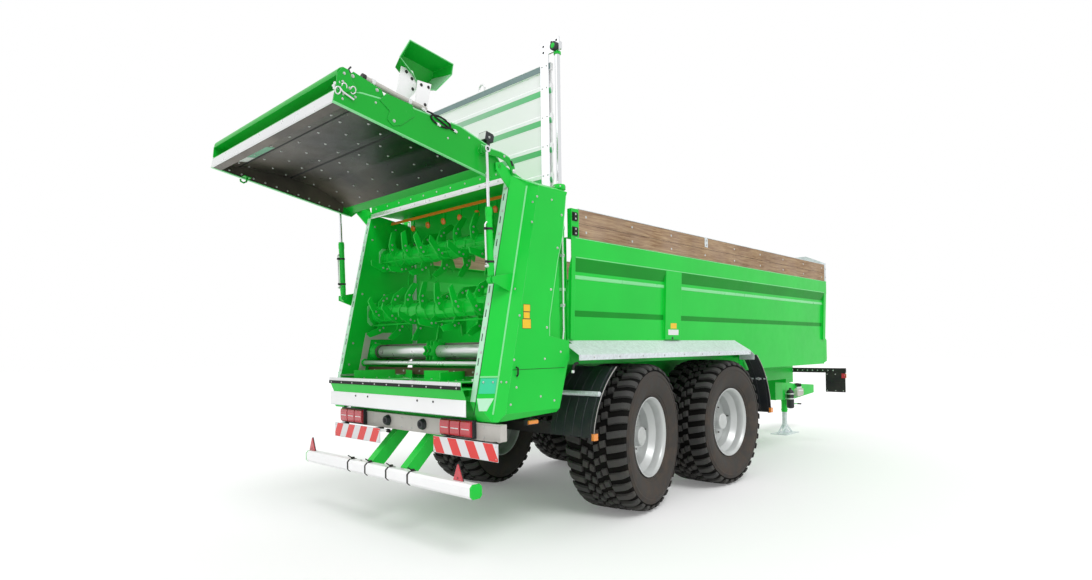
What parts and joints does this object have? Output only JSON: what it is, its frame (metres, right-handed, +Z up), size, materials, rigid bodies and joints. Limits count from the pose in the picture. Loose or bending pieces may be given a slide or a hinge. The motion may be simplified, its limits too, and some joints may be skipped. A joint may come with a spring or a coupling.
{
  "type": "manure spreader",
  "caption": "Tandem-axle rear-discharge manure spreader with steered rear axle, lift door, horizontal beaters, spreading discs and a raised rear hatch.",
  "frame": {"origin": "on the ground, midway along the machine and on its centre line", "axes": "+X to the machine's right-hand side, +Y forward towards the drawbar, +Z up"},
  "size_m": [2.7414, 9.7943, 4],
  "materials": {
    "green_paint": "gloss",
    "galvanised": "satin",
    "white_steel": "gloss",
    "wood": "matte",
    "tyre": "matte",
    "rim_silver": "satin",
    "black_plastic": "matte",
    "lining": "matte",
    "chrome": "polished",
    "red_lamp": "gloss",
    "board_red_white": "gloss",
    "black_steel": "satin",
    "chain_steel": "worn"
  },
  "bodies": {
    "frame": {"apron": "white_steel", "board_left": "wood", "board_right": "wood", "bogie": "green_paint", "box_floor": "chain_steel", "box_front_wall": "green_paint", "box_rear_frame": "green_paint", "box_side_left": "green_paint", "box_side_right": "green_paint", "casing_left": "green_paint", "casing_right": "green_paint", "chain_shaft": "chain_steel", "chassis": "green_paint", "door_guides": "galvanised", "drawbar": "galvanised", "driveline": "green_paint", "fender_left": "black_plastic", "fender_right": "black_plastic", "floor_chain": "chain_steel", "front_axle": "green_paint", "front_boards": "board_red_white", "head_panel": "galvanised", "jack_barrel": "galvanised", "lamp_beam": "galvanised", "lift_barrels": "green_paint", "mudguard_left": "galvanised", "mudguard_right": "galvanised", "rear_axle": "green_paint", "rear_boards": "board_red_white", "spreader_table": "green_paint", "tail_lamps": "red_lamp", "top_beam": "green_paint", "tow_eye": "black_steel", "underrun_arms": "green_paint", "underrun_bar": "white_steel"},
    "wheel_front_right": {"tyre_front_right": "tyre", "rim_front_right": "rim_silver"},
    "wheel_front_left": {"tyre_front_left": "tyre", "rim_front_left": "rim_silver"},
    "knuckle_right_body": {"knuckle_right": "green_paint"},
    "knuckle_left_body": {"knuckle_left": "green_paint"},
    "wheel_rear_right": {"tyre_rear_right": "tyre", "rim_rear_right": "rim_silver"},
    "wheel_rear_left": {"tyre_rear_left": "tyre", "rim_rear_left": "rim_silver"},
    "hatch": {"hatch_frame": "green_paint", "hatch_lining": "lining", "hatch_roll": "green_paint", "hatch_hood": "green_paint"},
    "hatch_cylinder_right": {"hatch_barrel_right": "green_paint"},
    "hatch_cylinder_left": {"hatch_barrel_left": "green_paint"},
    "hatch_ram_right": {"hatch_rod_right": "chrome"},
    "hatch_ram_left": {"hatch_rod_left": "chrome"},
    "door": {"door_panel": "galvanised", "door_rods": "galvanised"},
    "upper_beater": {"beater_upper": "green_paint"},
    "lower_beater": {"beater_lower": "green_paint"},
    "spinner_right": {"disc_right": "green_paint"},
    "spinner_left": {"disc_left": "green_paint"},
    "jack": {"jack_leg": "galvanised"}
  },
  "joints": [
    {"name": "front_wheel_right_spin", "type": "hinge", "parent": "frame", "child": "wheel_front_right", "pos_m": [0.9755, -0.45, 0.665], "axis": [1, 0, 0], "continuous": true},
    {"name": "front_wheel_left_spin", "type": "hinge", "parent": "frame", "child": "wheel_front_left", "pos_m": [-0.9755, -0.45, 0.665], "axis": [1, 0, 0], "continuous": true},
    {"name": "steer_right", "type": "hinge", "parent": "frame", "child": "knuckle_right_body", "pos_m": [0.894, -2, 0.665], "axis": [0, 0, 1], "range_deg": [-26.3, 3.7]},
    {"name": "steer_left", "type": "hinge", "parent": "frame", "child": "knuckle_left_body", "pos_m": [-0.894, -2, 0.665], "axis": [0, 0, 1], "range_deg": [-26.3, 3.7]},
    {"name": "rear_wheel_right_spin", "type": "hinge", "parent": "knuckle_right_body", "child": "wheel_rear_right", "pos_m": [0.97392, -1.98403, 0.665], "axis": [0.9806, 0.1959, 0], "continuous": true},
    {"name": "rear_wheel_left_spin", "type": "hinge", "parent": "knuckle_left_body", "child": "wheel_rear_left", "pos_m": [-0.97392, -2.01597, 0.665], "axis": [0.9806, 0.1959, 0], "continuous": true},
    {"name": "hatch_hinge", "type": "hinge", "parent": "frame", "child": "hatch", "pos_m": [0, -3.565, 2.848], "axis": [1, 0, 0], "range_deg": [0, 88]},
    {"name": "hatch_cylinder_right_pivot", "type": "hinge", "parent": "frame", "child": "hatch_cylinder_right", "pos_m": [1.052, -3.7, 1.98], "axis": [1, 0, 0], "range_deg": [-5.7, 0]},
    {"name": "hatch_cylinder_left_pivot", "type": "hinge", "parent": "frame", "child": "hatch_cylinder_left", "pos_m": [-1.052, -3.7, 1.98], "axis": [1, 0, 0], "range_deg": [-5.7, 0]},
    {"name": "hatch_rod_right_slide", "type": "slide", "parent": "hatch_cylinder_right", "child": "hatch_ram_right", "axis": [0, -0.0323, 0.9995], "range_m": [-0.2445, 0]},
    {"name": "hatch_rod_left_slide", "type": "slide", "parent": "hatch_cylinder_left", "child": "hatch_ram_left", "axis": [0, -0.0323, 0.9995], "range_m": [-0.2445, 0]},
    {"name": "door_lift", "type": "slide", "parent": "frame", "child": "door", "axis": [0, 0, 1], "range_m": [-1.06, 0]},
    {"name": "upper_beater_spin", "type": "hinge", "parent": "frame", "child": "upper_beater", "pos_m": [0, -3.265, 2.365], "axis": [1, 0, 0], "continuous": true},
    {"name": "lower_beater_spin", "type": "hinge", "parent": "frame", "child": "lower_beater", "pos_m": [0, -3.4, 1.825], "axis": [1, 0, 0], "continuous": true},
    {"name": "spinner_right_spin", "type": "hinge", "parent": "frame", "child": "spinner_right", "pos_m": [0.468, -3.43, 1.23], "axis": [0, 0, 1], "continuous": true},
    {"name": "spinner_left_spin", "type": "hinge", "parent": "frame", "child": "spinner_left", "pos_m": [-0.468, -3.43, 1.23], "axis": [0, 0, 1], "continuous": true},
    {"name": "jack_slide", "type": "slide", "parent": "frame", "child": "jack", "axis": [0, 0, 1], "range_m": [0, 0.2]}
  ],
  "couplings": [
    {"joint": "steer_left", "follows": "steer_right", "ratio": 1},
    {"joint": "hatch_cylinder_right_pivot", "follows": "hatch_hinge", "ratio": -0.06407},
    {"joint": "hatch_rod_right_slide", "follows": "hatch_hinge", "m_per_rad": -0.15905},
    {"joint": "hatch_cylinder_left_pivot", "follows": "hatch_hinge", "ratio": -0.06407},
    {"joint": "hatch_rod_left_slide", "follows": "hatch_hinge", "m_per_rad": -0.15905}
  ]
}
